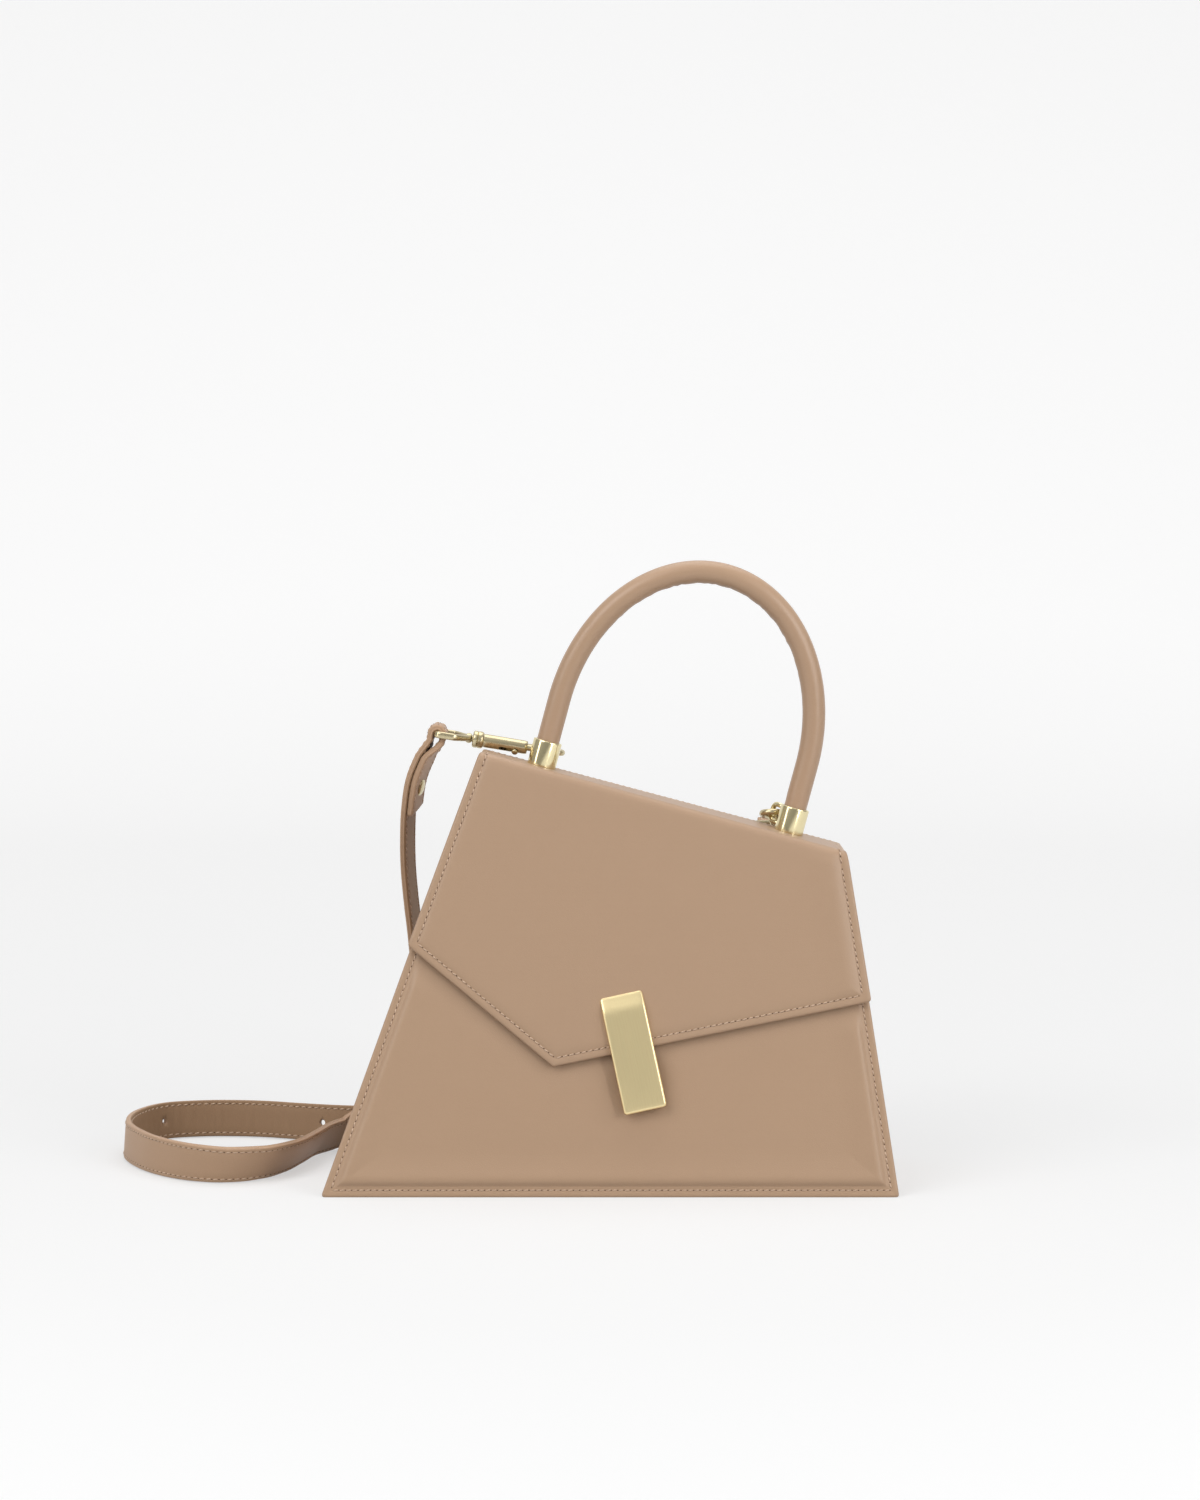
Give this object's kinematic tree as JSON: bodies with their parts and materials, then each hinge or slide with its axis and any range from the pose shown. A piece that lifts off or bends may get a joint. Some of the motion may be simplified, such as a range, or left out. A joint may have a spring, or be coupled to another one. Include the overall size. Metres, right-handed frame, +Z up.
{
  "type": "top handle bag",
  "caption": "A-shaped leather handbag with a sloped top, an angular hinged flap with a brass plate, an arched tubular handle and a hooked-on shoulder strap.",
  "frame": {"origin": "on the floor, at the centre of the bag's base", "axes": "+Z up, -Y the front with the flap and plate, -X the taller end"},
  "size_m": [0.3687, 0.157, 0.2903],
  "materials": {
    "body_leather": "fine pebbled grain",
    "strap_leather": "fine pebbled grain",
    "lining_cloth": "matt",
    "stiffener_board": "matt fibreboard",
    "brushed_brass": "brushed",
    "polished_brass": "polished",
    "steel": "plain",
    "rope": "twisted cotton"
  },
  "bodies": {
    "bag": {"front_panel": "body_leather", "back_panel": "body_leather", "top_panel": "body_leather", "left_gusset": "body_leather", "right_gusset": "body_leather", "base_panel": "body_leather", "handle_cover": "body_leather", "shoulder_strap": "strap_leather", "lining": "lining_cloth", "inner_pocket": "lining_cloth", "front_board": "stiffener_board", "back_board": "stiffener_board", "base_board": "stiffener_board", "receiver_washer": "brushed_brass", "left_ferrule": "polished_brass", "right_ferrule": "polished_brass", "strap_stud_left": "polished_brass", "strap_stud_right": "polished_brass", "hook_left_eye": "polished_brass", "hook_right_eye": "polished_brass", "receiver_magnet": "steel", "left_ferrule_screw": "steel", "right_ferrule_screw": "steel", "handle_backing_plate": "steel", "handle_core": "rope"},
    "flap": {"flap_leather": "body_leather", "flap_board": "stiffener_board", "flap_lining": "body_leather", "closure_plate": "brushed_brass", "closure_boss": "polished_brass", "flap_magnet": "steel", "closure_screw_lower": "steel", "closure_screw_upper": "steel"},
    "left_hook": {"hook_left_body": "polished_brass", "hook_left_spring": "steel"},
    "left_gate": {"hook_left_gate": "polished_brass"},
    "right_hook": {"hook_right_body": "polished_brass", "hook_right_spring": "steel"},
    "right_gate": {"hook_right_gate": "polished_brass"}
  },
  "joints": [
    {"name": "flap_hinge", "type": "hinge", "parent": "bag", "child": "flap", "pos_m": [0.02444, -0.0188, 0.17703], "axis": [-0.9643, 0.0492, 0.2603], "range_deg": [0, 110]},
    {"name": "left_hook_swivel", "type": "hinge", "parent": "bag", "child": "left_hook", "pos_m": [-0.05265, 0.0113, 0.2043], "axis": [0.9865, 0, -0.1636], "range_deg": [-10, 10]},
    {"name": "left_gate_slide", "type": "slide", "parent": "left_hook", "child": "left_gate", "axis": [-0.9865, 0, 0.1636], "range_m": [0, 0.006], "stiffness_N_per_m": 150, "springref_m": -0.002, "deforming": ["hook_left_spring"]},
    {"name": "right_hook_swivel", "type": "hinge", "parent": "bag", "child": "right_hook", "pos_m": [0.08117, 0.03845, 0.16572], "axis": [0, -0.9791, 0.2035], "range_deg": [-10, 10]},
    {"name": "right_gate_slide", "type": "slide", "parent": "right_hook", "child": "right_gate", "axis": [0, 0.9791, -0.2035], "range_m": [0, 0.006], "stiffness_N_per_m": 150, "springref_m": -0.002, "deforming": ["hook_right_spring"]}
  ]
}
